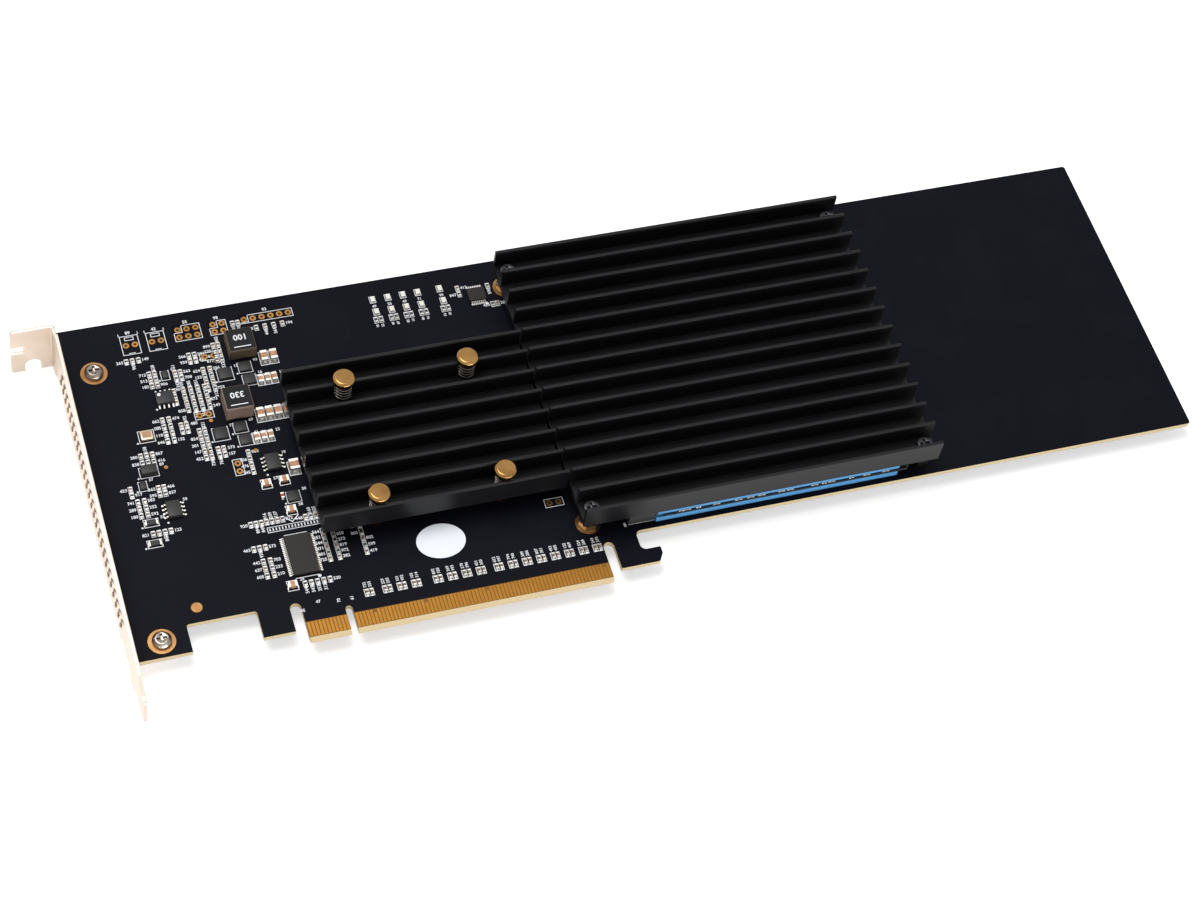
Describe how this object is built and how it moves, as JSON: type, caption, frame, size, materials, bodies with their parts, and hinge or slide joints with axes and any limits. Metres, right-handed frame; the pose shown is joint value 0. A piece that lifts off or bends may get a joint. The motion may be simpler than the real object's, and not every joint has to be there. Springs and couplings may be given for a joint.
{
  "type": "nvme adapter card",
  "caption": "Full-length expansion card with a vented bracket, an edge connector, a finned heatsink over M.2 drives and a smaller pinned heatsink over the switch chip.",
  "frame": {"origin": "centre of the key slot in the edge connector, on the lower edge of the contact fingers, in the component face of the board", "axes": "+X along the card away from the bracket, +Y from the contact fingers to the top edge, +Z out of the component side"},
  "size_m": [0.3234, 0.1254, 0.0211],
  "materials": {
    "black_anodised": "black anodised aluminium extrusion",
    "black_screw": "black oxide steel",
    "board": "black solder mask over glass-filled laminate",
    "bracket_steel": "nickel-plated sheet steel",
    "brass": "turned brass",
    "capacitor": "tan ceramic with tinned ends",
    "chip_black": "black moulded epoxy",
    "chip_lid": "nickel-plated copper lid",
    "chip_substrate": "green package substrate",
    "drive_board": "dark green solder mask",
    "gold": "gold-plated copper contacts",
    "inductor": "pressed iron powder",
    "label": "plain white paper sticker",
    "lead_metal": "tinned leads",
    "led": "clear lens over a pale body",
    "oscillator_metal": "gold-tinted metal lid",
    "resistor": "black glazed chip with tinned ends",
    "socket_plastic": "black moulded plastic",
    "spring_steel": "spring wire",
    "steel_screw": "bright plated steel",
    "thermal_pad": "soft blue silicone pad"
  },
  "bodies": {
    "root": {"blank_label": "label", "bracket": "bracket_steel", "bracket_screws": "steel_screw", "bulk_capacitors": "capacitor", "circuit_board": "board", "coupling_capacitors": "capacitor", "drive_board_1": "drive_board", "drive_board_2": "drive_board", "drive_board_3": "drive_board", "drive_board_4": "drive_board", "drive_buffer_chips": "chip_black", "drive_controllers": "chip_black", "drive_heatsink": "black_anodised", "drive_memory_chips": "chip_black", "drive_screws": "steel_screw", "drive_socket_1": "socket_plastic", "drive_socket_2": "socket_plastic", "drive_socket_3": "socket_plastic", "drive_socket_4": "socket_plastic", "drive_standoffs": "brass", "edge_contacts": "gold", "eight_pin_chips": "chip_black", "eight_pin_leads": "lead_metal", "filter_capacitors": "capacitor", "heatsink_posts": "steel_screw", "heatsink_screws": "black_screw", "led_driver": "chip_black", "led_resistors": "resistor", "lower_thermal_pad_1": "thermal_pad", "lower_thermal_pad_2": "thermal_pad", "lower_thermal_pad_3": "thermal_pad", "lower_thermal_pad_4": "thermal_pad", "memory_chip": "chip_black", "oscillator": "oscillator_metal", "pin_springs": "spring_steel", "power_controllers": "chip_black", "power_diode": "chip_black", "power_inductor_1": "inductor", "power_inductor_2": "inductor", "power_transistors": "chip_black", "push_pins": "brass", "small_capacitors": "capacitor", "small_resistors": "resistor", "small_transistors": "chip_black", "status_leds": "led", "switch_heatsink": "black_anodised", "switch_lid": "chip_lid", "switch_package": "chip_substrate", "switch_thermal_pad": "thermal_pad", "two_lead_parts": "chip_black", "upper_thermal_pad_1": "thermal_pad", "upper_thermal_pad_2": "thermal_pad", "upper_thermal_pad_3": "thermal_pad", "upper_thermal_pad_4": "thermal_pad"}
  },
  "joints": []
}
